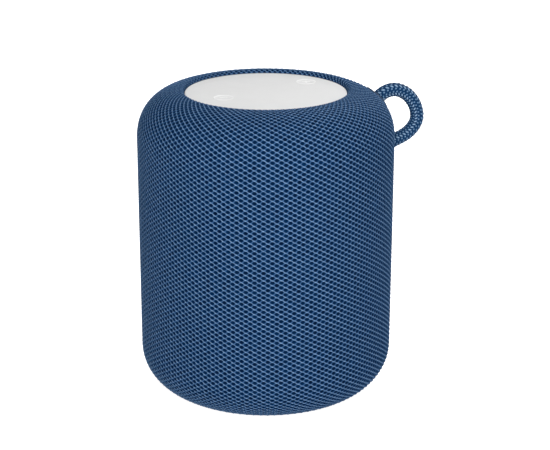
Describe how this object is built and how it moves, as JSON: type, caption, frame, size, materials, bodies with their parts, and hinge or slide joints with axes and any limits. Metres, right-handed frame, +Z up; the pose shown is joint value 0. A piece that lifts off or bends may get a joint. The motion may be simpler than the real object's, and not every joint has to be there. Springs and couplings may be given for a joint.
{
  "type": "portable bluetooth speaker",
  "caption": "Small cylindrical bluetooth speaker: blue knitted fabric body, recessed white key panel on top, braided carry loop, rear port panel with a hinged flap.",
  "frame": {"origin": "middle of the foot pad's underside, on the body's axis", "axes": "+Z up along the body's axis, -Y the front that the driver faces, +X the side of the carry loop"},
  "size_m": [0.107, 0.095, 0.1156],
  "materials": {
    "sleeve_fabric": "knitted polyester mesh",
    "loop_rope": "braided polyester",
    "white_plastic": "satin",
    "navy_rubber": "matte",
    "shell_plastic": "textured",
    "grey_plastic": "matte",
    "screw_steel": "zinc plated",
    "sheet_steel": "nickel plated",
    "circuit_board": "solder resist",
    "black_plastic": "moulded",
    "cone_paper": "pressed paper",
    "surround_rubber": "smooth",
    "spider_cloth": "resin-dipped cloth",
    "coil_copper": "enamelled wire",
    "magnet_steel": "plated ferrite and steel",
    "cell_wrap": "shrink film over the can",
    "clear_lens": "clear"
  },
  "bodies": {
    "root": {"fabric_sleeve": "sleeve_fabric", "loop_end_top": "loop_rope", "loop_end_bottom": "loop_rope", "top_panel": "white_plastic", "foot_pad": "navy_rubber", "port_panel": "navy_rubber", "loop_bush_top": "navy_rubber", "loop_bush_bottom": "navy_rubber", "grille_shell": "shell_plastic", "cabinet_body": "shell_plastic", "cabinet_lid": "shell_plastic", "base_plate": "grey_plastic", "control_frame": "grey_plastic", "driver_frame": "grey_plastic", "radiator_frame": "grey_plastic", "battery_cradle": "grey_plastic", "base_screw_1": "screw_steel", "base_screw_2": "screw_steel", "base_screw_3": "screw_steel", "base_screw_4": "screw_steel", "driver_screw_1": "screw_steel", "driver_screw_2": "screw_steel", "driver_screw_3": "screw_steel", "driver_screw_4": "screw_steel", "control_screw_1": "screw_steel", "control_screw_2": "screw_steel", "control_screw_3": "screw_steel", "board_screw_1": "screw_steel", "board_screw_2": "screw_steel", "board_screw_3": "screw_steel", "usb_socket": "sheet_steel", "radio_module": "sheet_steel", "main_board": "circuit_board", "key_board": "circuit_board", "port_board": "circuit_board", "amplifier_chip": "black_plastic", "key_switch_minus": "black_plastic", "key_switch_plus": "black_plastic", "power_switch": "black_plastic", "aux_jack": "black_plastic", "microphone": "black_plastic", "driver_gasket": "cone_paper", "driver_surround": "surround_rubber", "radiator_surround": "surround_rubber", "driver_spider": "spider_cloth", "driver_magnet": "magnet_steel", "battery_cell": "cell_wrap", "status_light": "clear_lens"},
    "minus_key": {"key_minus": "white_plastic"},
    "plus_key": {"key_plus": "white_plastic"},
    "power_button": {"power_key": "navy_rubber"},
    "flap": {"port_flap": "navy_rubber"},
    "loop": {"carry_loop": "loop_rope"},
    "driver_diaphragm": {"driver_cone": "cone_paper", "voice_coil": "coil_copper", "dust_cap": "cone_paper"},
    "radiator_diaphragm": {"radiator_plate": "sheet_steel"}
  },
  "joints": [
    {"name": "minus_key_press", "type": "slide", "parent": "root", "child": "minus_key", "axis": [0, 0, -1], "range_m": [0, 0.0004], "stiffness_N_per_m": 400},
    {"name": "plus_key_press", "type": "slide", "parent": "root", "child": "plus_key", "axis": [0, 0, -1], "range_m": [0, 0.0004], "stiffness_N_per_m": 400},
    {"name": "power_key_press", "type": "slide", "parent": "root", "child": "power_button", "axis": [0, -1, 0], "range_m": [0, 0.0006], "stiffness_N_per_m": 500},
    {"name": "flap_hinge", "type": "hinge", "parent": "root", "child": "flap", "pos_m": [-0.004, 0.0437, 0.0266], "axis": [1, 0, 0], "range_deg": [0, 110]},
    {"name": "loop_swing", "type": "hinge", "parent": "root", "child": "loop", "pos_m": [0.04636, 0.01242, 0.0914], "axis": [-0.2003, -0.0537, 0.9783], "range_deg": [-40, 40], "stiffness_Nm_per_rad": 0.003},
    {"name": "driver_travel", "type": "slide", "parent": "root", "child": "driver_diaphragm", "axis": [0, -1, 0], "range_m": [-0.002, 0.002], "stiffness_N_per_m": 1500, "deforming": ["driver_surround", "driver_spider"]},
    {"name": "radiator_travel", "type": "slide", "parent": "root", "child": "radiator_diaphragm", "axis": [0, 1, 0], "range_m": [-0.003, 0.003], "stiffness_N_per_m": 900, "deforming": ["radiator_surround"]}
  ]
}
